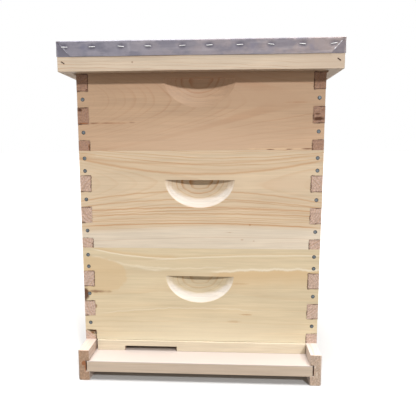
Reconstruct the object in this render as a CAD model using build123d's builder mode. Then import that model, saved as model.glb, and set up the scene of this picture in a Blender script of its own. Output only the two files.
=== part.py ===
from build123d import *
import os

os.makedirs("parts", exist_ok=True)

# A ten-frame hive: a bottom board, three equal boxes of frames, an inner cover and a
# telescoping outer cover. Millimetres. +Z is up, the entrance faces -Y, and the origin
# is on the ground under the middle of the whole hive.

# ---- Driving dimensions ----
inch = 25.4
board = 0.75 * inch
hive_width = 16.25 * inch
hive_length = 19.875 * inch
box_height = 6.625 * inch
landing_depth = 2.125 * inch

# Corner joints of a box, counted down from its top edge
top_finger = 42.5
finger = 27.2
joint_gap = 0.2

# Ledge that the frames hang on
rest_width = 9.5
rest_drop = 15.9

# Hand hold: half an ellipse on the face, hollowed by a round cutter
hold_width = 120
hold_height = 48
hold_depth = 13
hold_drop = 49.5

# Splinter broken from the lowest finger at the front of the lower box's left board
chip_height = 11
chip_depth = 9
chip_margin = 1

# Nails
nail_head_radius = 3.7
nail_head_thickness = 1.2
nail_head_proud = 0.4
nail_shank_radius = 1.5
nail_length = 45
nail_edge = 9.5
first_nail_drop = 13
second_nail_drop = 34

# Bottom board
rail_height = 2.125 * inch
rail_groove = 6.35
floor_tongue = 4.2
floor_under = 0.625 * inch
floor_play = 0.5
floor_board_width = 5.5 * inch
board_seam = 0.3
rail_corner_ease = 2.5
rail_edge_ease = 1.5

# Entrance reducer
reducer_size = 18.5
reducer_length = 371.5
reducer_proud = 4
reducer_shift = 1.1
notch_height = 8.5
wide_notch = 93
wide_notch_x = -88
small_notch = 25
small_notch_x = 60

# Frames
frame_count = 10
frame_pitch = 35.2
frame_drop = 6.35
frame_height = 6.25 * inch
top_bar_length = 19 * inch
top_bar_width = 27
top_bar_height = 19
lug_height = 9.5
lug_width = 22
bottom_bar_length = 17.75 * inch
bottom_bar_width = 19
bottom_bar_height = 9.5
end_bar_thickness = 9.5
shoulder_width = 35
shoulder_height = 76
end_bar_width = 28.6
shoulder_taper = 10
foundation_thickness = 3
foundation_groove = 3.2
groove_depth = 3.4

# Inner cover and outer cover
inner_cover_thickness = 3.2
escape_length = 100
escape_width = 32
cover_play = 4.35
rim_height = 1.75 * inch
deck_thickness = 3.2
sheet_thickness = 0.5
flange_height = 25
flange_gap = 0.6
staple_crown = 11
staple_wire = 1.3
staple_proud = 0.4
staple_leg = 12
flange_staple_drop = 10
rim_staple_drop = 34
rim_staple_edge = 9
rim_staple_tilt = 35

# ---- Levels and places worked out from them ----
floor_top = floor_under + board
cover_overhang = cover_play + board
sheet_stand = flange_gap + sheet_thickness
cover_reach = cover_overhang + sheet_stand + staple_proud
hive_y = (landing_depth - cover_reach) / 2
front_y = hive_y - hive_length / 2
rear_y = hive_y + hive_length / 2
rail_front_y = front_y - landing_depth
inside_width = hive_width - 2 * board
box_bases = {
    "lower": rail_height,
    "middle": rail_height + box_height,
    "top": rail_height + 2 * box_height,
}
stack_top = rail_height + 3 * box_height
rim_top = stack_top + inner_cover_thickness
rim_base = rim_top - rim_height
deck_top = rim_top + deck_thickness
cover_width = hive_width + 2 * cover_overhang
cover_length = hive_length + 2 * cover_overhang

# Edges of the fingers, measured up from the bottom edge of a box
finger_edges = [box_height - top_finger - i * finger for i in range(5)]
side_fingers = [
    (finger_edges[1], finger_edges[0]),
    (finger_edges[3], finger_edges[2]),
    (0, finger_edges[4]),
]
end_fingers = [
    (finger_edges[0], box_height),
    (finger_edges[2], finger_edges[1]),
    (finger_edges[4], finger_edges[3]),
]


def save(node, name):
    """Name a finished node and write it to its own file."""
    node.label = name
    export_step(node, f"parts/{name}.step")


def outside_plane(facing, half_width, half_length, base):
    """Plane on one outer face, with x to the right and y up as seen from outside."""
    outward = {
        "front": (0, -1, 0),
        "rear": (0, 1, 0),
        "left": (-1, 0, 0),
        "right": (1, 0, 0),
    }[facing]
    origin = (outward[0] * half_width, hive_y + outward[1] * half_length, base)
    rightward = (-outward[1], outward[0], 0)
    return Plane(origin=origin, x_dir=rightward, z_dir=outward)


def box_face(facing, base):
    return outside_plane(facing, hive_width / 2, hive_length / 2, base)


# ---- Bottom board ----


def bottom_rail(name, side):
    """Side rail: a deep board on edge, grooved inside for the floor boards' ends."""
    with BuildPart() as rail:
        with BuildSketch(Plane.XZ.offset(-rail_front_y)):
            with BuildLine():
                outer = side * hive_width / 2
                inner = side * (hive_width / 2 - board)
                Polyline(
                    (inner, 0),
                    (outer, 0),
                    (outer, rail_height),
                    (inner, rail_height),
                    close=True,
                )
            make_face()
        extrude(amount=-(rear_y - rail_front_y))
        front_end = rail.faces().sort_by(Axis.Y)[0]
        eased = front_end.edges().filter_by(Axis.Z).sort_by(Axis.X)[0 if side < 0 else -1]
        chamfer(eased, rail_corner_ease)
        outer_faces = rail.faces().filter_by(Axis.X).sort_by(Axis.X)
        outer_face = outer_faces[0] if side < 0 else outer_faces[-1]
        chamfer(outer_face.edges().sort_by(Axis.Z)[-1], rail_edge_ease)
        groove_height = board + floor_play
        with Locations((side * (hive_width / 2 - board), (rail_front_y + rear_y) / 2, floor_under)):
            Box(
                2 * rail_groove,
                2 * hive_length,
                groove_height,
                align=(Align.CENTER, Align.CENTER, Align.MIN),
                mode=Mode.SUBTRACT,
            )
    save(rail.part, name)


bottom_rail("bottom_rail_left", -1)
bottom_rail("bottom_rail_right", 1)

# The floor is four boards laid crosswise, the first of them the landing board.
floor_board_length = inside_width + 2 * floor_tongue


def floor_board(index):
    start = rail_front_y + index * floor_board_width
    with BuildPart() as one_board:
        with BuildSketch(Plane.XY.offset(floor_under)):
            with Locations((0, start + floor_board_width / 2)):
                Rectangle(floor_board_length, floor_board_width - board_seam)
        extrude(amount=board)
        upper = one_board.faces().sort_by(Axis.Z)[-1].edges().filter_by(Axis.X)
        chamfer(upper, board_seam)
    return one_board.part


save(floor_board(0), "landing_board")
save(Compound(children=[floor_board(1), floor_board(2), floor_board(3)]), "floor_boards")

with BuildPart() as rear_cleat:
    with BuildSketch(Plane.XY.offset(floor_top)):
        with Locations((0, rear_y - board / 2)):
            Rectangle(inside_width, board)
    extrude(amount=rail_height - floor_top)
save(rear_cleat.part, "rear_cleat")

# Loose square stick in the entrance, with a wide and a narrow way cut in two of its sides
reducer_front_y = front_y - reducer_proud
with BuildPart() as entrance_reducer:
    with BuildSketch(Plane.XZ.offset(-reducer_front_y)):
        with Locations((reducer_shift, floor_top)):
            Rectangle(reducer_length, reducer_size, align=(Align.CENTER, Align.MIN))
        with Locations((wide_notch_x, floor_top)):
            Rectangle(
                wide_notch,
                notch_height,
                align=(Align.CENTER, Align.MIN),
                mode=Mode.SUBTRACT,
            )
    extrude(amount=-reducer_size)
    with Locations((small_notch_x, reducer_front_y + reducer_size, floor_top)):
        Box(
            small_notch,
            notch_height,
            reducer_size,
            align=(Align.CENTER, Align.MAX, Align.MIN),
            mode=Mode.SUBTRACT,
        )
save(entrance_reducer.part, "entrance_reducer")

rail_nail_height = floor_under + board / 2
rail_nail_inset = 30
with BuildPart() as bottom_nails:
    nail_places = [
        (index * floor_board_width + inset)
        for index in range(4)
        for inset in (rail_nail_inset, floor_board_width - rail_nail_inset)
    ]
    middle_of_rail = hive_length / 2 + landing_depth
    for facing, along in (("left", 1), ("right", -1)):
        face = box_face(facing, rail_nail_height)
        points = [(along * (middle_of_rail - place), 0) for place in nail_places]
        with BuildSketch(face.offset(nail_head_proud)):
            with Locations(*points):
                Circle(nail_head_radius)
        extrude(amount=-nail_head_thickness)
        with BuildSketch(face.offset(nail_head_proud - nail_head_thickness)):
            with Locations(*points):
                Circle(nail_shank_radius)
        extrude(amount=-nail_length)
save(bottom_nails.part, "bottom_nails")


# ---- Boxes ----


def cut_hand_hold(facing, base):
    """Hollow a hand hold with a flat upper lip and a round scooped bottom."""
    cutter_radius = (hold_height**2 + hold_depth**2) / (2 * hold_depth)
    axis_out = cutter_radius - hold_depth
    cutter_half_length = hold_width / 2 / (1 - (axis_out / cutter_radius) ** 2) ** 0.5
    face = box_face(facing, base)
    lip = Plane(
        origin=face.from_local_coords((0, box_height - hold_drop, axis_out)),
        x_dir=face.x_dir,
        z_dir=(0, 0, 1),
    )
    with BuildSketch(lip) as half_ellipse:
        Ellipse(cutter_half_length, cutter_radius)
        with Locations((0, -cutter_radius)):
            Rectangle(2 * cutter_half_length, 2 * cutter_radius, mode=Mode.SUBTRACT)
    revolve(
        profiles=half_ellipse.sketch,
        axis=Axis(lip.origin, -lip.x_dir),
        revolution_arc=90,
        mode=Mode.SUBTRACT,
    )


def cut_fingers(face, length, fingers, depth):
    """Notch both ends of a board where the other board's fingers come through."""
    for low, high in fingers:
        height = high - low + joint_gap
        with BuildSketch(face) as notches:
            with Locations((-length / 2, (low + high) / 2), (length / 2, (low + high) / 2)):
                Rectangle(2 * depth, height)
        extrude(notches.sketch, amount=-board, mode=Mode.SUBTRACT)


def end_board(name, facing, base):
    """Front or rear board, with the ledge for the frames' lugs along its top inside edge."""
    face = box_face(facing, base)
    with BuildPart() as end:
        with BuildSketch(face):
            Rectangle(hive_width, box_height, align=(Align.CENTER, Align.MIN))
        extrude(amount=-board)
        cut_fingers(face, hive_width, side_fingers, board)
        with BuildSketch(face.offset(-board)):
            with Locations((0, box_height)):
                Rectangle(hive_width, 2 * rest_drop)
        extrude(amount=rest_width, mode=Mode.SUBTRACT)
        cut_hand_hold(facing, base)
    save(end.part, name)


def cut_chip(base):
    """Break the inner upper corner off the lowest left finger, seen from the front."""
    front = box_face("front", base)
    outer = -hive_width / 2 + chip_margin
    inner = -hive_width / 2 + board
    upper = finger_edges[4]
    with BuildSketch(front) as splinter:
        with BuildLine():
            Polyline((outer, upper), (inner, upper), (inner, upper - chip_height), close=True)
        make_face()
    extrude(splinter.sketch, amount=-chip_depth, mode=Mode.SUBTRACT)


def side_board(name, facing, base):
    """Left or right board, with a half tongue at each end that closes the frames' ledge."""
    face = box_face(facing, base)
    with BuildPart() as side:
        with BuildSketch(face):
            Rectangle(hive_length, box_height, align=(Align.CENTER, Align.MIN))
        extrude(amount=-board)
        below_tongue = (finger_edges[0], box_height - rest_drop)
        cut_fingers(face, hive_length, end_fingers[1:], board)
        cut_fingers(face, hive_length, [below_tongue], board)
        cut_fingers(face, hive_length, [(box_height - rest_drop, box_height)], board - rest_width)
        cut_hand_hold(facing, base)
        if name == "lower_box_left":
            cut_chip(base)
    save(side.part, name)


def box_nails(name, base):
    """Nails through every finger: seven at each corner."""
    end_drops = [first_nail_drop, second_nail_drop]
    end_drops += [box_height - (low + high) / 2 for low, high in end_fingers[1:]]
    side_drops = [box_height - (low + high) / 2 for low, high in side_fingers]
    with BuildPart() as nails:
        for facing, length, drops in (
            ("front", hive_width, end_drops),
            ("rear", hive_width, end_drops),
            ("left", hive_length, side_drops),
            ("right", hive_length, side_drops),
        ):
            face = box_face(facing, base)
            points = [
                (end * (length / 2 - nail_edge), box_height - drop)
                for end in (-1, 1)
                for drop in drops
            ]
            with BuildSketch(face.offset(nail_head_proud)):
                with Locations(*points):
                    Circle(nail_head_radius)
            extrude(amount=-nail_head_thickness)
            with BuildSketch(face.offset(nail_head_proud - nail_head_thickness)):
                with Locations(*points):
                    Circle(nail_shank_radius)
            extrude(amount=-nail_length)
    save(nails.part, name)


for box_name, box_base in box_bases.items():
    end_board(f"{box_name}_box_front", "front", box_base)
    end_board(f"{box_name}_box_rear", "rear", box_base)
    side_board(f"{box_name}_box_left", "left", box_base)
    side_board(f"{box_name}_box_right", "right", box_base)
    box_nails(f"{box_name}_box_nails", box_base)


# ---- Frames ----


def top_bar(x, top):
    """Bar with a thin lug at each end and a groove under it for the foundation."""
    body_half_length = bottom_bar_length / 2 - end_bar_thickness
    with BuildPart() as bar:
        with BuildSketch(Plane.XY.offset(top - lug_height)):
            with Locations((x, hive_y)):
                Rectangle(lug_width, top_bar_length)
                Rectangle(top_bar_width, 2 * body_half_length)
        extrude(amount=lug_height)
        with BuildSketch(Plane.XY.offset(top - top_bar_height)):
            with Locations((x, hive_y)):
                Rectangle(top_bar_width, 2 * body_half_length)
        extrude(amount=top_bar_height - lug_height)
        with BuildSketch(Plane.XY.offset(top - top_bar_height)):
            with Locations((x, hive_y)):
                Rectangle(foundation_groove, 2 * body_half_length)
        extrude(amount=groove_depth, mode=Mode.SUBTRACT)
    return bar.part


def end_bar(x, top, end):
    """Upright end of a frame, wide at the top so that it spaces itself from the next."""
    foot = -frame_height
    shoulder_foot = -shoulder_height
    neck = shoulder_foot - shoulder_taper
    outer_y = hive_y + end * bottom_bar_length / 2
    inner_y = outer_y - end * end_bar_thickness
    with BuildPart() as bar:
        with BuildSketch(Plane(origin=(x, max(inner_y, outer_y), top), x_dir=(1, 0, 0), z_dir=(0, -1, 0))):
            with BuildLine():
                Polyline(
                    (-end_bar_width / 2, foot),
                    (end_bar_width / 2, foot),
                    (end_bar_width / 2, neck),
                    (shoulder_width / 2, shoulder_foot),
                    (shoulder_width / 2, 0),
                    (-shoulder_width / 2, 0),
                    (-shoulder_width / 2, shoulder_foot),
                    (-end_bar_width / 2, neck),
                    close=True,
                )
            make_face()
            Rectangle(lug_width, 2 * lug_height, mode=Mode.SUBTRACT)
            with Locations((0, foot)):
                Rectangle(bottom_bar_width, 2 * bottom_bar_height, mode=Mode.SUBTRACT)
        extrude(amount=end_bar_thickness)
    return bar.part


def bottom_bar(x, top):
    with BuildPart() as bar:
        with BuildSketch(Plane.XY.offset(top - frame_height)):
            with Locations((x, hive_y)):
                Rectangle(bottom_bar_width, bottom_bar_length)
        extrude(amount=bottom_bar_height)
        with BuildSketch(Plane.XY.offset(top - frame_height + bottom_bar_height)):
            with Locations((x, hive_y)):
                Rectangle(foundation_groove, bottom_bar_length - 2 * end_bar_thickness)
        extrude(amount=-groove_depth, mode=Mode.SUBTRACT)
    return bar.part


def foundation(x, top):
    """Thin sheet that the bees draw their comb on, held in the two grooves."""
    play = foundation_groove - foundation_thickness
    low = top - frame_height + bottom_bar_height - groove_depth + play
    high = top - top_bar_height + groove_depth - play
    length = bottom_bar_length - 2 * end_bar_thickness - 2 * play
    with BuildPart() as sheet:
        with BuildSketch(Plane.XY.offset(low)):
            with Locations((x, hive_y)):
                Rectangle(foundation_thickness, length)
        extrude(amount=high - low)
    return sheet.part


def frame(name, x, top):
    pieces = [
        top_bar(x, top),
        end_bar(x, top, -1),
        end_bar(x, top, 1),
        bottom_bar(x, top),
        foundation(x, top),
    ]
    save(Compound(children=pieces), name)


first_frame_x = -frame_pitch * (frame_count - 1) / 2
for box_name, box_base in box_bases.items():
    frame_top = box_base + box_height - frame_drop
    for number in range(frame_count):
        frame(f"{box_name}_frame_{number + 1:02d}", first_frame_x + number * frame_pitch, frame_top)


# ---- Inner cover ----

with BuildPart() as inner_cover:
    with BuildSketch(Plane.XY.offset(stack_top)):
        with Locations((0, hive_y)):
            Rectangle(hive_width, hive_length)
            SlotOverall(escape_length, escape_width, rotation=90, mode=Mode.SUBTRACT)
    extrude(amount=inner_cover_thickness)
save(inner_cover.part, "inner_cover")


# ---- Outer cover ----


def cover_face(facing, base):
    return outside_plane(facing, cover_width / 2, cover_length / 2, base)


def cover_rim(name, facing, length):
    with BuildPart() as rim:
        with BuildSketch(cover_face(facing, rim_base)):
            Rectangle(length, rim_height, align=(Align.CENTER, Align.MIN))
        extrude(amount=-board)
    save(rim.part, name)


cover_rim("cover_rim_front", "front", cover_width)
cover_rim("cover_rim_rear", "rear", cover_width)
cover_rim("cover_rim_left", "left", cover_length - 2 * board)
cover_rim("cover_rim_right", "right", cover_length - 2 * board)

with BuildPart() as cover_deck:
    with BuildSketch(Plane.XY.offset(rim_top)):
        with Locations((0, hive_y)):
            Rectangle(cover_width, cover_length)
    extrude(amount=deck_thickness)
save(cover_deck.part, "cover_deck")

# Galvanised sheet: one flat top with its four edges turned down over the deck and rims
sheet_top = deck_top + sheet_thickness
with BuildPart() as cover_sheet:
    with BuildSketch(Plane.XY.offset(sheet_top)):
        with Locations((0, hive_y)):
            Rectangle(cover_width + 2 * sheet_stand, cover_length + 2 * sheet_stand)
    extrude(amount=-flange_height)
    with BuildSketch(Plane.XY.offset(deck_top)):
        with Locations((0, hive_y)):
            Rectangle(cover_width + 2 * flange_gap, cover_length + 2 * flange_gap)
    extrude(amount=-flange_height, mode=Mode.SUBTRACT)
save(cover_sheet.part, "cover_sheet")

# Staples that hold the turned-down edges, and one through each rim corner
long_staples = [-217, -172, -125, -81, -26, 17, 65, 114, 163, 212]
staple_spread = cover_length / cover_width


def add_staples(face, places, tilt):
    """Wire staples driven into a face: a crown that stands proud and two legs."""
    crown_plane = face.offset(staple_proud)
    for place in places:
        with BuildSketch(crown_plane) as crown:
            with Locations(Location((place[0], place[1], 0), (0, 0, tilt))):
                Rectangle(staple_crown, staple_wire)
        extrude(crown.sketch, amount=-staple_wire)
        leg_offset = (staple_crown - staple_wire) / 2
        with BuildSketch(crown_plane.offset(-staple_wire)) as legs:
            with Locations(Location((place[0], place[1], 0), (0, 0, tilt))):
                with Locations((-leg_offset, 0), (leg_offset, 0)):
                    Rectangle(staple_wire, staple_wire)
        extrude(legs.sketch, amount=-staple_leg)


with BuildPart() as cover_staples:
    flange_staple_z = sheet_top - flange_staple_drop
    rim_staple_z = sheet_top - rim_staple_drop
    for facing, stretch in (("front", 1), ("rear", 1), ("left", staple_spread), ("right", staple_spread)):
        flange_face = cover_face(facing, flange_staple_z).offset(sheet_stand)
        add_staples(flange_face, [(stretch * x, 0) for x in long_staples], 0)
    for facing in ("front", "rear"):
        rim_face = cover_face(facing, rim_staple_z).offset(-staple_proud)
        corner = cover_width / 2 - rim_staple_edge
        add_staples(rim_face, [(-corner, 0)], -rim_staple_tilt)
        add_staples(rim_face, [(corner, 0)], rim_staple_tilt)
save(cover_staples.part, "cover_staples")
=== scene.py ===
import math
import random

import bmesh
import bpy
from mathutils import Euler, Matrix, Vector, noise


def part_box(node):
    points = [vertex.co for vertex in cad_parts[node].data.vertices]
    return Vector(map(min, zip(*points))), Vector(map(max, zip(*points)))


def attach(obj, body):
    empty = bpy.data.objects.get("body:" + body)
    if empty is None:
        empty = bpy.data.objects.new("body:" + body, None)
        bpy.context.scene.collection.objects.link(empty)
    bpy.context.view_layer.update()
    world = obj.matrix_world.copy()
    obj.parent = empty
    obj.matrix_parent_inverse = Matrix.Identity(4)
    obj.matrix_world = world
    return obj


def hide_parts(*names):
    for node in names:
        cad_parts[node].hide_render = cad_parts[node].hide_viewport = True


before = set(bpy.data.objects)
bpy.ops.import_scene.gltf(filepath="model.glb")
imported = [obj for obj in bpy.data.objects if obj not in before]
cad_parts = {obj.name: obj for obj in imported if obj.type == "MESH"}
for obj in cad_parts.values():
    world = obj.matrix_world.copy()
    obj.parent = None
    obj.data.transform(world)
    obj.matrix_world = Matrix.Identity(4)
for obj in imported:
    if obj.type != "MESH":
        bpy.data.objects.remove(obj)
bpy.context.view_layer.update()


# ---- Studio ----
# The hive stands on a pale floor that runs out of sight under an even white sky, which casts
# a slightly warm light. A small soft lamp at the upper right gives the shadows, a wide one
# overhead brightens whatever faces up, and a weak wide one lights the back.

mm = 0.001
hive_middle = (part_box("lower_box_left")[0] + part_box("lower_box_left")[1]) / 2
lamps = [
    # name, strength, how broad it looks in degrees, the way towards it
    ("side_lamp", 2.3, 4, Vector((0.313, -0.760, 0.569))),
    ("overhead_lamp", 6.0, 40, Vector((0.0, -0.04, 1.0))),
    ("back_lamp", 1.3, 50, Vector((-0.5, 0.75, 0.43))),
]
sky_strength = 0.44
ground_strength = 0.36
horizon_band = 0.4
warm_light = (1.02, 0.96, 0.9, 1)
white = (1, 1, 1, 1)
floor_size = 60
floor_grey = (0.5, 0.5, 0.5, 1)
eye_place = (0.0446, hive_middle.y - 1.1227, 0.3969)
eye_turn = 0.0623
eye_tilt = -0.1611
eye_lean = -0.0032
eye_lens = 44.26
eye_shift = (0.0335, 0.0524)


def srgb(red, green, blue):
    """Colour on the usual scale of 255, as the linear colour that materials use."""
    shares = [value / 255 for value in (red, green, blue)]
    linear = [s / 12.92 if s <= 0.04045 else ((s + 0.055) / 1.055) ** 2.4 for s in shares]
    return (*linear, 1.0)


def place_in_scene(item):
    bpy.context.scene.collection.objects.link(item)
    return item


def connect(sockets, values):
    """Join each named socket to another one, or set it to a plain value."""
    for label, value in values.items():
        if isinstance(value, bpy.types.NodeSocket):
            value.id_data.links.new(value, sockets[label])
        else:
            sockets[label].default_value = value


def add_node(tree, kind, values, **settings):
    """New shader node with its settings and sockets filled in; gives its outputs."""
    node = tree.nodes.new(f"ShaderNode{kind}")
    for label, setting in settings.items():
        setattr(node, label, setting)
    connect(node.inputs, values)
    return node.outputs


def join_node(kind, values, **settings):
    """The same, in the tree of the sockets among its values."""
    sockets = [value for value in values.values() if isinstance(value, bpy.types.NodeSocket)]
    return add_node(sockets[0].id_data, kind, values, **settings)


def tinted(share, first, second):
    """Colour that goes from the first to the second as the share goes from 0 to 1."""
    return join_node("Mix", {0: share, 6: first, 7: second}, data_type="RGBA")[2]


def parts_of(vector):
    return join_node("SeparateXYZ", {0: vector})


def new_material(name):
    """Empty material, with its tree and the sockets of its shader."""
    material = bpy.data.materials.new(name)
    material.use_nodes = True
    return material, material.node_tree, material.node_tree.nodes["Principled BSDF"].inputs


floor_mesh = bpy.data.meshes.new("studio_floor")
floor_shape = bmesh.new()
bmesh.ops.create_grid(floor_shape, x_segments=1, y_segments=1, size=floor_size / 2)
floor_shape.to_mesh(floor_mesh)
floor_shape.free()
floor = place_in_scene(bpy.data.objects.new("studio_floor", floor_mesh))
floor_paint, _, paint = new_material("studio floor")
connect(paint, {"Base Color": floor_grey, "Roughness": 0.9})
floor_mesh.materials.append(floor_paint)
floor.visible_diffuse = False

sky = bpy.data.worlds.new("white sky")
sky.use_nodes = True
bpy.context.scene.world = sky
sky_tree = sky.node_tree
seen = add_node(sky_tree, "LightPath", {})["Is Camera Ray"]
upward = parts_of(add_node(sky_tree, "TexCoord", {})["Generated"])[2]
sky_limits = {0: upward, 1: -horizon_band, 2: horizon_band, 3: ground_strength, 4: sky_strength}
felt_strength = join_node("MapRange", sky_limits)[0]
sky_strengths = {0: seen, 3: felt_strength, 4: 1.0}
sky_values = {
    "Color": tinted(seen, warm_light, white),
    "Strength": join_node("MapRange", sky_strengths)[0],
}
connect(sky_tree.nodes["Background"].inputs, sky_values)

for name, strength, breadth, direction in lamps:
    lamp = bpy.data.lights.new(name, "SUN")
    lamp.energy = strength
    lamp.angle = math.radians(breadth)
    stand = place_in_scene(bpy.data.objects.new(name, lamp))
    stand.rotation_mode = "QUATERNION"
    stand.rotation_quaternion = direction.to_track_quat("Z", "Y")

bpy.context.scene.view_settings.view_transform = "Standard"

eye = bpy.data.cameras.new("eye")
eye.lens = eye_lens
eye.shift_x, eye.shift_y = eye_shift
camera = place_in_scene(bpy.data.objects.new("camera", eye))
camera.matrix_world = (
    Matrix.Translation(eye_place)
    @ Matrix.Rotation(eye_turn, 4, "Z")
    @ Matrix.Rotation(math.pi / 2 + eye_tilt, 4, "X")
    @ Matrix.Rotation(eye_lean, 4, "Z")
)
bpy.context.scene.camera = camera


# ---- Bottom rails ----
# Two deep pine boards on edge carry the floor. They are plain sawn stock, grooved inside,
# with the growth rings showing on their sawn front ends.

edge_ease = 0.6 * mm
weld_distance = 0.005 * mm
flat_enough = math.radians(0.1)
sharp_turn = math.radians(30)
sharp_crease = math.radians(50)
square_enough = 0.9999


def shape_of(*nodes):
    """Merged copy of one or more nodes' meshes, with their flat faces made whole."""
    shape = bmesh.new()
    for node in nodes:
        shape.from_mesh(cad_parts[node].data)
    bmesh.ops.remove_doubles(shape, verts=shape.verts, dist=weld_distance)
    bmesh.ops.dissolve_limit(
        shape,
        angle_limit=flat_enough,
        verts=shape.verts,
        edges=shape.edges,
        use_dissolve_boundaries=False,
    )
    return shape


def ease_edges(shape, ease):
    """Take the sharpness off every edge, as sanding does."""
    sharp = [e for e in shape.edges if len(e.link_faces) == 2 and e.calc_face_angle() > sharp_turn]
    bmesh.ops.bevel(
        shape,
        geom=sharp,
        offset=ease,
        affect="EDGES",
        segments=2,
        profile=0.5,
        material=-1,
        clamp_overlap=True,
    )


def make_piece(name, shape, materials, body, nodes):
    """Turn a finished shape into a piece that rides on its body and stands for its nodes."""
    mesh = bpy.data.meshes.new(name)
    shape.normal_update()
    for face in shape.faces:
        face.smooth = max(abs(part) for part in face.normal) < square_enough
    for edge in shape.edges:
        edge.smooth = len(edge.link_faces) == 2 and edge.calc_face_angle() < sharp_crease
    shape.to_mesh(mesh)
    shape.free()
    for material in materials:
        mesh.materials.append(material)
    piece = place_in_scene(bpy.data.objects.new(name, mesh))
    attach(piece, body)
    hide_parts(*nodes)


def board_piece(name, node, material, body, ease=edge_ease):
    """A board just as the frame holds it, with its edges eased."""
    shape = shape_of(node)
    ease_edges(shape, ease)
    make_piece(name, shape, [material], body, [node])


def work_out(operation, *values):
    return join_node("Math", dict(enumerate(values)), operation=operation)[0]


def product(first, *others):
    for other in others:
        first = work_out("MULTIPLY", first, other)
    return first


def total(first, *others):
    for other in others:
        first = work_out("ADD", first, other)
    return first


def less(first, second):
    return work_out("SUBTRACT", first, second)


def ratio(first, second):
    return work_out("DIVIDE", first, second)


def grown(start, value, factor):
    """The start plus the value times the factor."""
    return work_out("MULTIPLY_ADD", value, factor, start)


def size_of(value):
    return work_out("ABSOLUTE", value)


def hypotenuse(first, second):
    return work_out("SQRT", grown(product(second, second), first, first))


def bell(value):
    """1 where the value is 0, falling off smoothly to both sides."""
    return work_out("EXPONENT", product(value, value, -1.0))


def blend(share, first, second):
    """Value that goes from the first to the second as the share goes from 0 to 1."""
    return grown(first, less(second, first), share)


def rise(value, low, high, least=0.0, most=1.0):
    """Smooth step from least to most as the value goes from low to high."""
    limits = dict(enumerate((value, low, high, least, most)))
    return join_node("MapRange", limits, interpolation_type="SMOOTHSTEP")[0]


def fade(value, low, high):
    return rise(value, low, high, 1.0, 0.0)


def near(distance, width):
    """1 within the width of a line and 0 away from it."""
    return fade(ratio(distance, width), 0.7, 1.3)


def vector_sum(operation, first, second):
    return join_node("VectorMath", {0: first, 1: second}, operation=operation)


def speckle(place, scale, detail=2.0, roughness=0.5):
    """Soft noise. A scale of three numbers stretches it along the board's own axes."""
    if isinstance(scale, tuple):
        place = vector_sum("MULTIPLY", place, scale)[0]
        scale = 1.0
    values = {"Vector": place, "Scale": scale, "Detail": detail, "Roughness": roughness}
    return join_node("TexNoise", values)[0]


def relief(height, strength, distance):
    return join_node("Bump", {"Height": height, "Strength": strength, "Distance": distance})[0]


def new_group(name, inputs, outputs):
    """Empty node group with its named sockets of each kind, and both its inner ends."""
    tree = bpy.data.node_groups.new(name, "ShaderNodeTree")
    for in_out, kinds in (("INPUT", inputs), ("OUTPUT", outputs)):
        for kind, labels in kinds.items():
            for label in labels:
                tree.interface.new_socket(name=label, in_out=in_out, socket_type=f"NodeSocket{kind}")
    return tree, tree.nodes.new("NodeGroupInput").outputs, tree.nodes.new("NodeGroupOutput").inputs


nowhere = -900.0
plain_pine = {
    "Pith Depth": 60.0,
    "Pith Height": 80.0,
    "Slope": 0.0,
    "Bow": 0.0,
    "Bow Centre": 0.0,
    "Ring Width": 5.0,
    "Crowding": 0.0,
    "Wander": 8.0,
    "Knot": (900.0, 0.0, 900.0),
    "Knot Reach": 40.0,
    "Knot Pull": 0.0,
    "Line Strength": 0.55,
    "Line Start": 40.0,
    "Sap Radius": 105.0,
    "Early": srgb(194, 169, 140),
    "Late": srgb(168, 125, 83),
    "Sap": srgb(203, 186, 163),
    "Hold Height": nowhere,
    "Fresh Cut And Sheen": srgb(217, 208, 198),
    "End": srgb(177, 152, 132),
}

# The hand hold as the grain meets it: the half width and height of its flat and of its edge
hold_flat = (51.0, 33.0)
hold_edge = (62.0, 51.0)
hold_depth_shown = (0.15, 0.6)
hold_depth_most = (13.5, 14.5)
hold_ring_step = 2.1
hold_ring_start = 1.1


def sawn_end(normal):
    """1 on the sawn ends of a board and 0 on its long faces."""
    return rise(size_of(parts_of(normal)[0]), 0.55, 0.85)


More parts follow.
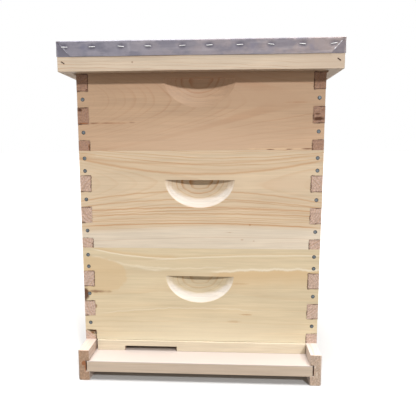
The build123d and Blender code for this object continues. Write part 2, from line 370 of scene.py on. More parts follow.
def pine_grain_group():
    """Growth rings round a pith that runs along x, cut by whatever face shows.

    Place is in millimetres: x along the grain, y into the board, z across it.
    """
    tree, given, made = new_group(
        "pine grain",
        {
            "Vector": ("Place", "Normal", "Knot"),
            "Float": [label for label, value in plain_pine.items() if isinstance(value, float)],
            "Color": ("Early", "Late", "Sap", "End", "Fresh Cut And Sheen"),
        },
        {"Color": ("Colour",), "Float": ("Height", "Roughness")},
    )
    place = given["Place"]
    along, inward, across = parts_of(place)

    # Depth of the pith behind the face, which may slope and bow along the board
    from_centre = less(along, given["Bow Centre"])
    bowed = product(from_centre, from_centre, given["Bow"])
    sloped = grown(given["Pith Depth"], along, given["Slope"])
    behind = less(less(sloped, bowed), inward)
    radius = hypotenuse(less(across, given["Pith Height"]), behind)

    # The grain swerves round a knot
    flat_place = vector_sum("MULTIPLY", place, (1, 0, 1))[0]
    from_knot = vector_sum("DISTANCE", flat_place, given["Knot"])["Value"]
    swerve = bell(ratio(from_knot, given["Knot Reach"]))
    radius = grown(radius, swerve, given["Knot Pull"])
    drift = less(speckle(place, (0.010, 0.022, 0.022), 3.0, 0.45), 0.5)
    radius = grown(radius, drift, given["Wander"])

    # In the hand hold the cutter leaves every ring clear, and a pale crescent at the bottom: fresh-cut
    # wood with a painted sheen where the lip faces up
    below_hold = less(given["Hold Height"], across)
    from_flat, from_edge = [
        hypotenuse(ratio(along, half_width), ratio(below_hold, height))
        for half_width, height in (hold_flat, hold_edge)
    ]
    hollow = product(
        rise(inward, *hold_depth_shown),
        fade(inward, *hold_depth_most),
        fade(from_edge, 1.0, 1.04),
    )

    # Rings of uneven width: pale early wood that deepens to a thin late line
    past_core = less(radius, given["Line Start"])
    outer = work_out("MAXIMUM", past_core, 0.0)
    core = work_out("MINIMUM", past_core, 0.0)
    crowded = grown(product(outer, outer, given["Crowding"]), core, 0.12)
    count = total(ratio(radius, given["Ring Width"]), crowded)
    cut_depth = grown(total(inward, hold_ring_start), drift, 7.0)
    count = blend(hollow, count, ratio(cut_depth, -hold_ring_step))
    uneven_values = {"W": count, "Scale": 0.45, "Detail": 1.0}
    uneven = join_node("TexNoise", uneven_values, noise_dimensions="1D")[0]
    count = grown(count, uneven, 1.6)
    number = work_out("FLOOR", count)
    share = less(count, number)
    ring_chance = join_node("TexWhiteNoise", {"W": number}, noise_dimensions="1D")["Value"]
    ring_strength = rise(ring_chance, 0.0, 1.0, 0.3, 1.0)
    late_line = product(rise(share, 0.6, 0.93), fade(share, 0.94, 1.0))
    line = grown(product(share, share, 0.16), late_line, 0.84)
    patchy = speckle(place, (0.012, 0.05, 0.05))
    sapwood = rise(less(radius, given["Sap Radius"]), -5.0, 5.0)
    line = product(
        line,
        ring_strength,
        rise(patchy, 0.25, 0.75, 0.5, 1.2),
        work_out("MAXIMUM", rise(past_core, -10.0, 8.0, 0.25, 1.0), hollow),
        rise(sapwood, 0.0, 1.0, 1.0, 0.45),
        grown(given["Line Strength"], hollow, 0.6),
    )

    # Fibres, streaks and clouds that run along the board
    fibre = speckle(place, (0.014, 0.5, 0.5), 4.0, 0.7)
    streak = speckle(place, (0.006, 0.16, 0.16), 3.0, 0.55)
    cloud = speckle(place, (0.008, 0.02, 0.02))
    shade = total(
        rise(fibre, 0.3, 0.7, -0.055, 0.055),
        rise(streak, 0.3, 0.7, 0.95, 1.05),
        rise(cloud, 0.3, 0.7, -0.04, 0.04),
    )
    wood = tinted(sapwood, given["Early"], given["Sap"])
    wood = tinted(line, wood, given["Late"])

    # Where the cutter has gone in at a slant the wood is fresh and paler, with a painted sheen that
    # grows towards the bottom of the hold, where the lip faces up
    torn = speckle(place, (0.05, 0.3, 0.3))
    fresh = product(
        rise(grown(from_flat, torn, 0.12), 0.98, 1.16),
        hollow,
        rise(below_hold, 4.0, 22.0, 0.25, 0.9),
        grown(1.0, line, -0.5),
    )
    wood = tinted(fresh, wood, given["Fresh Cut And Sheen"])

    # Sawn ends show the open pores, darker and without the long fibres
    sawn = sawn_end(given["Normal"])
    pores = speckle(place, 0.36, 3.0, 0.8)
    end_line = product(rise(share, 0.35, 0.9), ring_strength, 0.42)
    end_wood = tinted(end_line, given["End"], given["Late"])
    end_shade = rise(pores, 0.36, 0.64, 0.76, 1.18)
    wood = tinted(sawn, wood, end_wood)
    shade = blend(sawn, shade, end_shade)
    shaded = join_node("VectorMath", {0: wood, "Scale": shade}, operation="SCALE")[0]

    raised = grown(product(line, 0.1), fibre, 0.5)
    results = {
        "Colour": shaded,
        "Height": total(raised, product(pores, sawn, 1.2)),
        "Roughness": grown(rise(fibre, 0.3, 0.7, 0.52, 0.64), sawn, 0.2),
    }
    connect(made, results)
    return tree


def patch_group():
    """Mask of one stain, knot or streak, or of a patch of painted shade or sheen: a soft ellipsoid with
    an uneven edge.
    """
    tree, given, made = new_group(
        "patch",
        {"Vector": ("Place", "Centre", "Size"), "Float": ("Softness", "Wobble")},
        {"Float": ("Mask",)},
    )
    shake = speckle(given["Place"], 0.12, 3.0)
    centred = vector_sum("SUBTRACT", given["Place"], given["Centre"])[0]
    scaled = vector_sum("DIVIDE", centred, given["Size"])[0]
    reach = join_node("VectorMath", {0: scaled}, operation="LENGTH")["Value"]
    distance = grown(reach, less(shake, 0.5), given["Wobble"])
    mask = fade(distance, less(1.0, given["Softness"]), 1.0)
    connect(made, {"Mask": mask})
    return tree


def vein_group():
    """Mask of one long line in the wood, slightly curved and shaky, and of the zone beside it."""
    tree, given, made = new_group(
        "vein",
        {
            "Vector": ("Place", "Middle"),
            "Float": ("Half Length", "Slope", "Curve", "Width", "Shake", "Zone"),
        },
        {"Float": ("Line", "Beside")},
    )
    centred = vector_sum("SUBTRACT", given["Place"], given["Middle"])[0]
    along, inward, above = parts_of(centred)
    bent = product(along, along, given["Curve"])
    line_height = grown(bent, along, given["Slope"])
    shaky = speckle(given["Place"], (0.05, 0.0, 0.01), 3.0, 0.6)
    line_height = grown(line_height, less(shaky, 0.5), given["Shake"])
    off = less(above, line_height)
    reached = ratio(size_of(along), given["Half Length"])
    within = product(fade(reached, 0.75, 1.0), fade(inward, 0.1, 0.5))
    into_zone = ratio(off, given["Zone"])
    zone = product(rise(into_zone, 0.0, 0.08), fade(into_zone, 0.1, 1.0))
    masks = {
        "Line": product(bell(ratio(off, given["Width"])), within),
        "Beside": product(zone, within),
    }
    connect(made, masks)
    return tree


first_finger = 42.5
finger_pitch = 27.2
board_thickness = 19.05


def joint_gap_group():
    """Mask of the dark gaps round the fingers at both ends of a box's board."""
    tree, given, made = new_group(
        "joint gap",
        {"Vector": ("Place", "Normal"), "Float": ("Half Length", "Height", "Other Row")},
        {"Float": ("Mask",)},
    )
    along, inward, across = parts_of(given["Place"])
    from_end = less(given["Half Length"], size_of(along))
    drop = less(less(given["Height"], across), first_finger)
    rows = ratio(drop, finger_pitch)
    off_row = size_of(less(rows, work_out("ROUND", rows)))
    off_row = product(off_row, finger_pitch)
    row = work_out("FLOOR", work_out("MAXIMUM", rows, -1.0))
    parity = work_out("FLOORED_MODULO", row, 2.0)
    ragged = speckle(given["Place"], 0.6, 3.0, 0.6)
    width = rise(ragged, 0.3, 0.7, 0.4, 1.7)

    # Level gaps between the fingers, upright ones at the shoulders, and the board's own end
    level = product(
        fade(from_end, board_thickness, board_thickness + 0.6),
        rise(rows, -0.5, -0.45),
        fade(rows, 4.4, 4.5),
        near(off_row, width),
    )
    off_shoulder = size_of(less(from_end, board_thickness))
    others = work_out("COMPARE", parity, given["Other Row"], 0.2)
    upright = product(others, near(off_shoulder, width))
    off_inside = less(board_thickness, inward)
    own_end = product(near(off_inside, width), sawn_end(given["Normal"]))
    gaps = work_out("MAXIMUM", work_out("MAXIMUM", level, upright), own_end)
    open_here = rise(speckle(given["Place"], 0.05), 0.42, 0.6, 0.08, 1.0)
    connect(made, {"Mask": product(gaps, open_here)})
    return tree


pine_grain = pine_grain_group()
patch = patch_group()
vein = vein_group()
joint_gap = joint_gap_group()
gap_brown = srgb(74, 44, 28)
gap_strength = 0.85

# Turns that lay a board's own axes on the hive's: x along the grain, y inward from the face
face_turns = {
    "front": (0, 0, 0),
    "rear": (0, 0, math.pi),
    "left": (0, 0, math.pi / 2),
    "right": (0, 0, -math.pi / 2),
    "up": (math.pi / 2, 0, 0),
    "standing": (0, math.pi / 2, 0),
    "up_lengthwise": (math.pi / 2, 0, -math.pi / 2),
}


def face_origin(node, facing):
    """Middle of the lower or front edge of the face that a board shows."""
    low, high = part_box(node)
    return {
        "front": (0, low.y, low.z),
        "rear": (0, high.y, low.z),
        "left": (low.x, hive_middle.y, low.z),
        "right": (high.x, hive_middle.y, low.z),
        "up": (0, low.y, high.z),
    }[facing]


def placed(tree, turn, origin):
    """Millimetres from the origin point, turned to the board's own axes."""
    turned = Euler(face_turns[turn]).to_matrix() @ Vector(origin)
    values = {
        "Vector": add_node(tree, "TexCoord", {})["Object"],
        "Rotation": face_turns[turn],
        "Scale": (1 / mm, 1 / mm, 1 / mm),
        "Location": -turned / mm,
    }
    return add_node(tree, "Mapping", values)[0]


def facing_of(tree, turn):
    """Normal of the surface, turned to the board's own axes."""
    values = {"Vector": add_node(tree, "TexCoord", {})["Normal"], "Rotation": face_turns[turn]}
    return add_node(tree, "Mapping", values, vector_type="VECTOR")[0]


def add_patches(place, colour, patches):
    """Lay stains, and patches of painted shade or sheen, over a colour: each is a centre, a size, a
    colour, a strength and an edge.
    """
    for centre, size, stain, strength, softness in patches:
        values = {
            "Place": place,
            "Centre": centre,
            "Size": size,
            "Softness": softness,
            "Wobble": min(0.9, 8 / min(size[0], size[2])),
        }
        mask = join_node("Group", values, node_tree=patch)["Mask"]
        colour = tinted(product(mask, strength), colour, stain)
    return colour


def add_veins(place, colour, veins):
    """Lay long lines over a colour, each with a zone of another colour above or below it."""
    for middle, half_length, slope, curve, width, shake, line_look, zone, zone_look in veins:
        values = {
            "Place": place,
            "Middle": middle,
            "Half Length": half_length,
            "Slope": slope,
            "Curve": curve,
            "Width": width,
            "Shake": shake,
            "Zone": zone,
        }
        masks = join_node("Group", values, node_tree=vein)
        for mask, (stain, strength) in (("Beside", zone_look), ("Line", line_look)):
            colour = tinted(product(masks[mask], strength), colour, stain)
    return colour


def pine(name, turn, origin, look, patches=(), veins=(), joint=None):
    """Pine finish of one board, with its own rings, colours, stains and joint gaps."""
    material, tree, shader = new_material(name)
    place = placed(tree, turn, origin)
    facing = facing_of(tree, turn)
    values = {"Place": place, "Normal": facing, **plain_pine, **look}
    grain = join_node("Group", values, node_tree=pine_grain)
    colour = add_veins(place, grain["Colour"], veins)
    colour = add_patches(place, colour, patches)
    if joint:
        values = {"Place": place, "Normal": facing, **joint}
        gap = join_node("Group", values, node_tree=joint_gap)["Mask"]
        colour = tinted(product(gap, gap_strength), colour, gap_brown)
    finish = {
        "Base Color": colour,
        "Roughness": grain["Roughness"],
        "Specular IOR Level": 0.35,
        "Normal": relief(grain["Height"], 0.35, 0.2 * mm),
    }
    connect(shader, finish)
    return material


knot_brown = srgb(108, 66, 39)
knot_dark = srgb(75, 41, 21)
rail_looks = {
    "left": {
        "Pith Depth": -38.0,
        "Pith Height": 66.0,
        "Ring Width": 3.2,
        "Early": srgb(188, 171, 160),
        "End": srgb(162, 134, 112),
    },
    "right": {
        "Pith Depth": -30.0,
        "Pith Height": -12.0,
        "Ring Width": 3.6,
        "Early": srgb(204, 191, 182),
        "End": srgb(180, 160, 143),
    },
}
rail_knot = srgb(142, 88, 52)
rail_patches = {
    "left": [
        ((306, 9.5, 31), (60, 4.6, 5.4), rail_knot, 0.85, 0.4),
        ((306, 13, 24), (60, 2.4, 9), rail_knot, 0.85, 0.4),
        ((250, 19, 40), (30, 3, 3), rail_knot, 0.6, 0.8),
    ],
    "right": [
        ((-306, 13.6, 26), (60, 1.5, 8), rail_knot, 0.85, 0.5),
        ((-306, 14, 20), (60, 2.2, 3), knot_brown, 0.8, 0.6),
        ((-306, 11, 33), (60, 3, 4), srgb(222, 208, 192), 0.6, 0.8),
        ((-306, 8, 20), (60, 3, 7), srgb(216, 202, 186), 0.5, 0.9),
    ],
}
for side, look in rail_looks.items():
    node = f"bottom_rail_{side}"
    wood = pine(f"{side} rail pine", side, face_origin(node, side), look, rail_patches[side])
    board_piece(f"{side}_rail", node, wood, "bottom_board")


# ---- Floor boards and landing board ----
# Four pine boards laid crosswise, with their ends let into the rails' grooves. The first
# is the landing board that stands out in front of the entrance.

floor_looks = {
    "landing_board": {
        "Pith Depth": 55.0,
        "Pith Height": 20.0,
        "Ring Width": 4.2,
        "Line Strength": 0.3,
        "Early": srgb(186, 169, 151),
        "Late": srgb(168, 138, 108),
        "Sap": srgb(189, 173, 156),
    },
    "floor_boards": {"Pith Depth": 70.0, "Pith Height": 60.0, "Ring Width": 5.0},
}
floor_sheen_patches = {
    # paler, cooler top of the landing board: painted sheen of the light on its upward face
    "landing_board": [((0, -1, -30), (900, 3, 400), srgb(187, 176, 170), 0.9, 0.4)],
    "floor_boards": [],
}
for node, look in floor_looks.items():
    wood = pine(f"{node} pine", "up", face_origin(node, "up"), look, floor_sheen_patches[node])
    board_piece(f"{node}_wood", node, wood, "bottom_board")


# ---- Rear cleat ----
# A pine strip across the back that closes the space over the floor.

cleat_look = {"Pith Height": 50.0, "Ring Width": 4.0}
cleat_wood = pine("cleat pine", "rear", face_origin("rear_cleat", "rear"), cleat_look)
board_piece("rear_cleat_wood", "rear_cleat", cleat_wood, "bottom_board")


# ---- Entrance reducer ----
# A loose square pine stick in the entrance, with a wide way and a narrow way cut in it.

reducer_look = {
    "Pith Depth": 90.0,
    "Pith Height": -30.0,
    "Ring Width": 3.4,
    "Line Strength": 0.3,
    "Early": srgb(201, 188, 165),
    "Late": srgb(186, 158, 122),
    "Sap": srgb(206, 196, 178),
}
reducer_origin = face_origin("entrance_reducer", "front")
reducer_wood = pine("reducer pine", "front", reducer_origin, reducer_look)
board_piece(
    "entrance_reducer_wood",
    "entrance_reducer",
    reducer_wood,
    "entrance_reducer",
)


# ---- Nails ----
# Flat-headed steel nails, driven through every finger of the boxes and through the rails
# into the floor boards. Their heads stand a little proud of the wood.

nail_sides = 14
nail_head_radius = 3.7
nail_shank_radius = 1.5
nail_shade_radius = 2.7
nail_length = 45
nail_wobble = 0.06
nail_profile = [
    (0, -0.12),
    (2.1, -0.05),
    (2.6, 0),
    (nail_head_radius, -0.6),
    (nail_head_radius, -1.1),
    (nail_shank_radius, -1.5),
    (nail_shank_radius, 4 - nail_length),
    (0, -nail_length),
]


def steel(name, dark, light, roughness, scale, metallic=0.9):
    """Steel with a mottled surface, bright or dark; it also carries the staples' painted glint and
    painted slot shade.
    """
    material, tree, shader = new_material(name)
    mottle = speckle(placed(tree, "front", (0, 0, 0)), scale, 3.0, 0.6)
    finish = {
        "Base Color": tinted(rise(mottle, 0.3, 0.7), dark, light),
        "Roughness": rise(mottle, 0.3, 0.7, roughness, roughness + 0.15),
        "Metallic": metallic,
    }
    connect(shader, finish)
    return material


nail_steel = steel("nail steel", srgb(80, 86, 90), srgb(128, 133, 136), 0.45, 0.8)
# dark outer ring of each nail head: painted shade where the head meets the wood
nail_rim_painted_shade = steel("nail rim painted shade", srgb(34, 36, 40), srgb(58, 60, 64), 0.5, 0.8)


def loose_parts(shape):
    """Groups of faces that hang together."""
    unseen = set(shape.faces)
    parts = []
    while unseen:
        waiting = [unseen.pop()]
        part = set(waiting)
        while waiting:
            for edge in waiting.pop().edges:
                fresh = [face for face in edge.link_faces if face in unseen]
                unseen.difference_update(fresh)
                part.update(fresh)
                waiting.extend(fresh)
        parts.append(part)
    return parts


def solids_of(node):
    """Lowest and highest corner of each separate solid in a node."""
    shape = bmesh.new()
    shape.from_mesh(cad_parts[node].data)
    bmesh.ops.remove_doubles(shape, verts=shape.verts, dist=weld_distance)
    corners = []
    for part in loose_parts(shape):
        points = [vert.co for face in part for vert in face.verts]
        low, high = [
            Vector([pick(point[axis] for point in points) for axis in range(3)])
            for pick in (min, max)
        ]
        corners.append((low, high))
    shape.free()
    return sorted(corners, key=lambda pair: tuple(round(part, 5) for part in pair[0]))


def finished_mesh(name, shape):
    """Small mesh of one fastener, closed and with its faces outward, to be copied."""
    bmesh.ops.remove_doubles(shape, verts=shape.verts, dist=weld_distance)
    bmesh.ops.recalc_face_normals(shape, faces=shape.faces)
    mesh = bpy.data.meshes.new(name)
    shape.to_mesh(mesh)
    shape.free()
    return mesh


def nail_mesh():
    """One nail along Z with its head up: a profile turned round the axis."""
    shape = bmesh.new()
    points = [shape.verts.new((radius * mm, 0, height * mm)) for radius, height in nail_profile]
    edges = [shape.edges.new(pair) for pair in zip(points, points[1:])]
    bmesh.ops.spin(
        shape,
        geom=points + edges,
        axis=(0, 0, 1),
        cent=(0, 0, 0),
        angle=2 * math.pi,
        steps=nail_sides,
        use_merge=True,
    )
    for face in shape.faces:
        # faces out past this radius take the painted shade of the head's rim
        if face.calc_center_median().xy.length > nail_shade_radius * mm:
            face.material_index = 1
    return finished_mesh("one nail", shape)


one_nail = nail_mesh()


def outward_of(offset, on_side):
    """Direction that a fastener's head faces: out to the side, or to the front or rear."""
    if on_side:
        return Vector((math.copysign(1, offset.x), 0, 0))
    return Vector((0, math.copysign(1, offset.y), 0))


def turn_to(outward):
    return outward.to_track_quat("Z", "Y").to_matrix().to_4x4()


def add_copy(shape, mesh, matrix):
    """Add one more copy of a small mesh, moved into place."""
    before = len(shape.verts)
    shape.from_mesh(mesh)
    shape.verts.ensure_lookup_table()
    bmesh.ops.transform(shape, matrix=matrix, verts=shape.verts[before:])


def nails_of(node, body, name):
    """Nails in place of the plain ones of a node, each knocked in a little off straight."""
    nail_dice = random.Random(name)
    shape = bmesh.new()
    for low, high in solids_of(node):
        centre, size = (low + high) / 2, high - low
        outward = outward_of(centre - hive_middle, size.x > size.y)
        head = centre + outward * abs(size.dot(outward)) / 2
        wobble = Matrix.Rotation(nail_dice.uniform(-nail_wobble, nail_wobble), 4, "X")
        wobble = wobble @ Matrix.Rotation(nail_dice.uniform(-nail_wobble, nail_wobble), 4, "Y")
        add_copy(shape, one_nail, Matrix.Translation(head) @ turn_to(outward) @ wobble)
    make_piece(name, shape, [nail_steel, nail_rim_painted_shade], body, [node])


nails_of("bottom_nails", "bottom_board", "rail_nails")


# ---- Boxes ----
# Three boxes of four pine boards each, finger-jointed and nailed at the corners, with a
# hand hold hollowed in every board. The fronts are flat-sawn, so the rings run in long
# arches; each board has its own tree and its own knots.

finger_centres = (21.2, 56.1, 83.3, 110.5, 137.7, 159.8)
finger_reach = 1.2 * mm
finger_proud = (-0.35, 0.45)
hold_height = 118.8
front_looks = {
    "top": {
        "Pith Depth": 90.0,
        "Pith Height": 84.0,
        "Slope": 0.13,
        "Bow": 0.00028,
        "Ring Width": 3.3,
        "Wander": 4.0,
        "Line Strength": 0.32,
        "Line Start": 66.0,
        "Sap Radius": 240.0,
        "Early": srgb(189, 158, 129),
        "Late": srgb(160, 106, 68),
        "Sap": srgb(194, 172, 145),
        "Fresh Cut And Sheen": srgb(190, 159, 131),
        "End": srgb(159, 126, 108),
    },
    "middle": {
        "Pith Depth": 60.0,
        "Pith Height": 112.5,
        "Bow": 0.00027,
        "Bow Centre": 48.0,
        "Ring Width": 5.2,
        "Crowding": 0.0042,
        "Wander": 4.0,
        "Line Strength": 0.72,
        "Line Start": 62.0,
        "Sap Radius": 95.0,
        "Early": srgb(203, 182, 154),
        "Late": srgb(180, 132, 88),
        "Sap": srgb(209, 196, 177),
        "End": srgb(190, 164, 149),
    },
    "lower": {
        "Pith Depth": 78.0,
        "Pith Height": 106.0,
        "Bow": 0.00007,
        "Bow Centre": -20.0,
        "Ring Width": 8.0,
        "Wander": 6.0,
        "Line Strength": 0.2,
        "Line Start": 76.0,
        "Sap Radius": 128.0,
        "Early": srgb(202, 185, 154),
        "Late": srgb(182, 142, 98),
        "Sap": srgb(212, 202, 177),
        "End": srgb(188, 164, 150),
    },
}
orange_brown = srgb(159, 106, 63)
lower_tan = srgb(199, 170, 129)
front_patches = {
    "top": [
        ((0, 0, 2), (300, 25, 70), srgb(202, 173, 146), 0.6, 1.0),
        # darker towards the top: painted shade under the outer cover's overhang
        ((0, 0, 130), (300, 25, 56), srgb(176, 137, 110), 0.55, 1.0),
        ((110, 0, 86), (150, 5, 26), srgb(189, 157, 128), 0.85, 0.9),
        ((-150, 0, 46), (46, 25, 2), orange_brown, 0.5, 0.9),
        ((-180, 0, 46), (12, 25, 2.2), knot_brown, 0.6, 0.9),
        ((-158, 0, 46), (13, 25, 1.6), knot_brown, 0.5, 0.9),
        ((-114, 0, 47), (8, 25, 1.5), knot_brown, 0.4, 0.9),
        ((165, 0, 78), (32, 25, 1.3), orange_brown, 0.4, 0.9),
        ((128, 0, 2.4), (76, 25, 1.6), srgb(216, 186, 150), 0.8, 0.8),
        ((118, 0, 1.4), (10, 25, 1.2), knot_brown, 0.8, 0.7),
        ((150, 0, 1.8), (9, 25, 1.2), knot_brown, 0.8, 0.7),
        ((180, 0, 2.4), (12, 25, 1.4), knot_brown, 0.8, 0.7),
    ],
    "middle": [
        ((-195, 0, 160), (22, 25, 9), srgb(190, 158, 124), 0.5, 0.9),
        ((155, 0, 112), (85, 5, 17), srgb(205, 181, 153), 0.85, 0.9),
        ((51, 0, 28.7), (9, 25, 1.1), orange_brown, 0.5, 0.9),
        ((73, 0, 16), (4, 25, 2), orange_brown, 0.45, 0.9),
        ((93, 0, 14), (2.5, 25, 1.8), orange_brown, 0.45, 0.9),
        ((86, 0, 42), (2.5, 25, 2.2), orange_brown, 0.7, 0.8),
    ],
    "lower": [
        ((0, 0, 6), (290, 25, 46), srgb(214, 202, 176), 0.6, 1.0),
        ((-190, 0, 118), (66, 25, 36), lower_tan, 0.5, 0.12),
        ((-196, 0, 122), (10, 25, 16), srgb(206, 164, 130), 0.5, 0.95),
        ((-206, 0, 84), (10, 25, 15), knot_dark, 0.95, 0.45),
        ((-184, 0, 89), (32, 25, 4), knot_brown, 0.7, 0.9),
        ((-187, 0, 61), (4, 25, 6), knot_brown, 0.8, 0.7),
        ((70, 0, 106), (24, 25, 2.6), orange_brown, 0.3, 0.95),
        ((82, 0, 50), (15, 25, 1.8), orange_brown, 0.6, 0.9),
        ((61, 0, 37), (17, 25, 3), orange_brown, 0.3, 0.9),
    ],
}
no_line = (lower_tan, 0.0)
pale_line = srgb(222, 210, 188)
middle_line = srgb(183, 138, 96)
front_veins = {
    "top": [],
    "middle": [
        ((0, 0, 44), 225, 0.0, -0.00016, 1.0, 2.0, (middle_line, 0.9), 9, no_line),
        ((-30, 0, 49), 200, 0.0, -0.00015, 0.7, 2.0, (middle_line, 0.5), 9, no_line),
        ((20, 0, 54), 215, 0.0, -0.00013, 0.7, 3.0, (middle_line, 0.45), 9, no_line),
        ((0, 0, 66), 210, 0.0, -0.00015, 0.7, 3.0, (middle_line, 0.4), 9, no_line),
        ((10, 0, 61), 230, 0.0, -0.00012, 1.0, 3.0, (middle_line, 0.65), 9, no_line),
        ((0, 0, 71.5), 250, 0.0, -0.00018, 1.1, 3.0, (middle_line, 0.75), 9, no_line),
        ((0, 0, 86), 250, 0.0, -0.00035, 1.0, 3.0, (middle_line, 0.6), 9, no_line),
        ((-5, 0, 100), 250, 0.0, -0.00045, 1.2, 3.0, (middle_line, 0.6), 9, no_line),
        ((-10, 0, 129), 250, -0.02, 0.00058, 1.7, 3.0, (middle_line, 0.6), 14, (middle_line, 0.12)),
        ((-20, 0, 146), 250, 0.0, 0.0003, 2.0, 3.0, (middle_line, 0.4), 14, no_line),
    ],
    "lower": [
        ((-115, 0, 153.6), 80, -0.105, 0.00085, 1.1, 2.0, (pale_line, 0.9), 9, (lower_tan, 0.7)),
        ((75, 0, 155.6), 170, 0.03, -0.00014, 1.1, 2.0, (pale_line, 0.8), 6, (lower_tan, 0.4)),
        ((-128, 0, 138), 66, -0.22, 0.0009, 1.8, 5.0, (pale_line, 0.4), 12, no_line),
        ((-84, 0, 134), 34, -0.05, 0.0, 1.2, 8.0, (pale_line, 0.5), 10, no_line),
        ((-20, 0, 133), 70, 0.04, 0.0, 1.2, 9.0, (pale_line, 0.35), 10, no_line),
        ((128, 0, 132), 118, 0.02, -0.0002, 1.8, 9.0, (pale_line, 0.85), -46, (lower_tan, 0.75)),
        ((-40, 0, 60), 150, 0.03, -0.0004, 0.9, 6.0, (pale_line, 0.4), -14, (lower_tan, 0.2)),
    ],
}
side_patches = {
    "top_box_left": [
        ((252.4, 4.6, 68), (3, 5, 3.8), knot_dark, 0.9, 0.6),
        ((252.4, 17, 101), (3, 2, 2), knot_dark, 0.8, 0.6),
        ((252.4, 9, 45.6), (3, 12, 2), rail_knot, 0.8, 0.7),
        ((252.4, 18, 6), (3, 2, 8), rail_knot, 0.8, 0.7),
    ],
    "top_box_right": [
        ((-252.4, 9, 51), (3, 12, 4.4), knot_dark, 0.95, 0.6),
        ((-252.4, 12, 59), (3, 7, 2), knot_dark, 0.85, 0.7),
        ((-252.4, 4, 65), (3, 4, 1.4), knot_brown, 0.7, 0.8),
        ((-252.4, 9, 112), (3, 12, 16), knot_brown, 0.3, 0.9),
    ],
    # dark brown at the chipped bottom finger: painted shade inside the chip
    "lower_box_left": [((250, 15, 13), (12, 9, 5.5), rail_knot, 0.9, 0.6)],
}
other_boards = random.Random(7)
chance_ranges = {
    "Pith Depth": (45, 95),
    "Pith Height": (50, 125),
    "Slope": (-0.08, 0.08),
    "Bow": (0.00004, 0.0002),
    "Bow Centre": (-90, 90),
    "Ring Width": (4, 6.5),
    "Wander": (6, 10),
    "Line Strength": (0.4, 0.7),
    "Sap Radius": (90, 130),
    "Knot Along": (-200, 200),
    "Knot Up": (20, 150),
    "Knot Reach": (22, 34),
    "Knot Pull": (10, 16),
}


def chance_look(dice, colours):
    """Look of a board whose tree nobody has seen: its own pith, rings and knot."""
    chance = {label: dice.uniform(*limits) for label, limits in chance_ranges.items()}
    knot = (chance.pop("Knot Along"), 0.0, chance.pop("Knot Up"))
    return {**colours, **chance, "Knot": knot}


def knot_patches(knot):
    return [
        (knot, (8, 40, 6.5), knot_brown, 0.75, 0.7),
        (knot, (4.5, 40, 3.5), knot_dark, 0.8, 0.6),
    ]


def uneven_fingers(shape, axis, box_top, dice):
    """Let each finger's end stand a shade proud of, or short of, the corner."""
    centres = finger_centres[axis::2]
    for outward, pick in ((-1, min), (1, max)):
        end = pick(vert.co[axis] for vert in shape.verts)
        proud = {centre: dice.uniform(*finger_proud) * mm for centre in centres}
        for vert in shape.verts:
            if abs(vert.co[axis] - end) < finger_reach:
                drop = (box_top - vert.co.z) / mm
                vert.co[axis] += outward * proud[min(centres, key=lambda centre: abs(centre - drop))]


for box_name in ("lower", "middle", "top"):
    for facing in ("front", "rear", "left", "right"):
        node = f"{box_name}_box_{facing}"
        axis = 0 if facing in ("front", "rear") else 1
        low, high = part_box(node)
        look = front_looks[box_name]
        patches = front_patches[box_name]
        veins = front_veins[box_name]
        if facing != "front":
            colours = {label: look[label] for label in ("Early", "Sap", "End")}
            look = chance_look(other_boards, colours)
            patches = knot_patches(look["Knot"]) + side_patches.get(node, [])
            veins = []
        look = {**look, "Hold Height": hold_height}
        size = (high - low) / mm
        joint = {"Half Length": size[axis] / 2, "Height": size.z, "Other Row": float(axis)}
        origin = face_origin(node, facing)
        wood = pine(f"{node} pine", facing, origin, look, patches, veins, joint)
        shape = shape_of(node)
        uneven_fingers(shape, axis, high.z, other_boards)
        ease_edges(shape, edge_ease)
        make_piece(f"{node}_board", shape, [wood], f"{box_name}_box", [node])
    nails_of(f"{box_name}_box_nails", f"{box_name}_box", f"{box_name}_nails")


# ---- Frames ----
# Ten wooden frames hang in each box from the lugs of their top bars. Each holds a sheet of
# embossed beeswax in grooves in its top and bottom bars.

wax_thickness_most = 4 * mm
cell_width = 5.3
end_bar_extent = 12 * mm

bar_look = {"Pith Depth": 140.0, "Pith Height": 60.0, "Ring Width": 3.0, "Early": srgb(201, 179, 146)}
end_bar_look = {
    "Pith Depth": 210.0,
    "Pith Height": -60.0,
    "Ring Width": 3.0,
    "Early": srgb(197, 174, 139),
}
bar_origin = (0, hive_middle.y, hive_middle.z)
bar_wood = pine("frame bar pine", "up_lengthwise", bar_origin, bar_look)
end_bar_wood = pine("frame end bar pine", "standing", bar_origin, end_bar_look)


def wax_cells(place):
    """Six-sided cells over a sheet: 1 on the raised walls, 0 at the bottom of each cell."""
    parts = parts_of(place)
    across = ratio(parts[1], cell_width)
    up = ratio(parts[2], cell_width)
    row_height = math.sqrt(3)
    nearest = []
    for shift in (0.0, 0.5):
        in_cell = work_out("FLOORED_MODULO", total(across, shift), 1.0)
        in_row = work_out("FLOORED_MODULO", total(up, shift * row_height), row_height)
        flat = size_of(less(in_cell, 0.5))
        slant = product(size_of(less(in_row, row_height / 2)), row_height / 2)
        nearest.append(work_out("MAXIMUM", flat, grown(slant, flat, 0.5)))
    return rise(work_out("MINIMUM", *nearest), 0.3, 0.47)


def beeswax():
    material, tree, shader = new_material("beeswax sheet")
    place = placed(tree, "front", (0, 0, 0))
    walls = wax_cells(place)
    bloom = speckle(place, 0.02, 3.0)
    wax = tinted(rise(bloom, 0.3, 0.7), srgb(214, 158, 66), srgb(232, 186, 96))
    finish = {
        "Base Color": tinted(walls, wax, srgb(244, 208, 128)),
        "Roughness": rise(bloom, 0.3, 0.7, 0.35, 0.5),
        "Normal": relief(walls, 1.0, 0.6 * mm),
    }
    connect(shader, finish)
    return material


wax_sheet = beeswax()


def span(part, axis):
    places = [vert.co[axis] for face in part for vert in face.verts]
    return max(places) - min(places)


